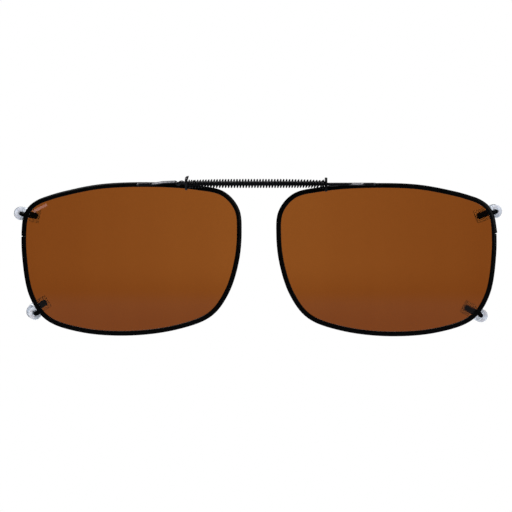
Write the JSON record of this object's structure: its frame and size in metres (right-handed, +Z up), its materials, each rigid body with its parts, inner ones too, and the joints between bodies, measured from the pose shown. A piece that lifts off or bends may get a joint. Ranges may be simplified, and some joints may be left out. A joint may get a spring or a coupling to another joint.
{
  "type": "clip on sunglasses",
  "caption": "Clip-on sunglasses with tinted lenses in thin wire rims, a spring-loaded sliding bridge and sleeved wire hooks that grip a pair of spectacles.",
  "frame": {"origin": "midway between the lenses at mid-height of the lenses, level with the crown of each lens, its furthest forward point", "axes": "+X to the right seen from the front, along the bridge; +Y towards the wearer's face; +Z up. The front faces -Y."},
  "size_m": [0.1302, 0.0131, 0.0427],
  "materials": {
    "tinted_lens": "polished, tinted brown, transparent",
    "black_enamel": "glossy black enamel",
    "black_steel": "black plated steel wire, satin",
    "clear_sleeve": "clear flexible plastic tube"
  },
  "bodies": {
    "left_half": {"left_lens": "tinted_lens", "left_rim": "black_enamel", "left_rod": "black_steel", "right_stop_plate": "black_steel", "bridge_spring": "black_steel", "upper_left_hook": "black_enamel", "lower_left_hook": "black_enamel", "upper_left_sleeve": "clear_sleeve", "lower_left_sleeve": "clear_sleeve"},
    "right_half": {"right_lens": "tinted_lens", "right_rim": "black_enamel", "right_rod": "black_steel", "left_stop_plate": "black_steel", "upper_right_hook": "black_enamel", "lower_right_hook": "black_enamel", "upper_right_sleeve": "clear_sleeve", "lower_right_sleeve": "clear_sleeve"}
  },
  "joints": [
    {"name": "bridge_slide", "type": "slide", "parent": "left_half", "child": "right_half", "axis": [1, 0, 0], "range_m": [0, 0.014], "stiffness_N_per_m": 160, "springref_m": -0.002, "deforming": ["bridge_spring"]}
  ]
}
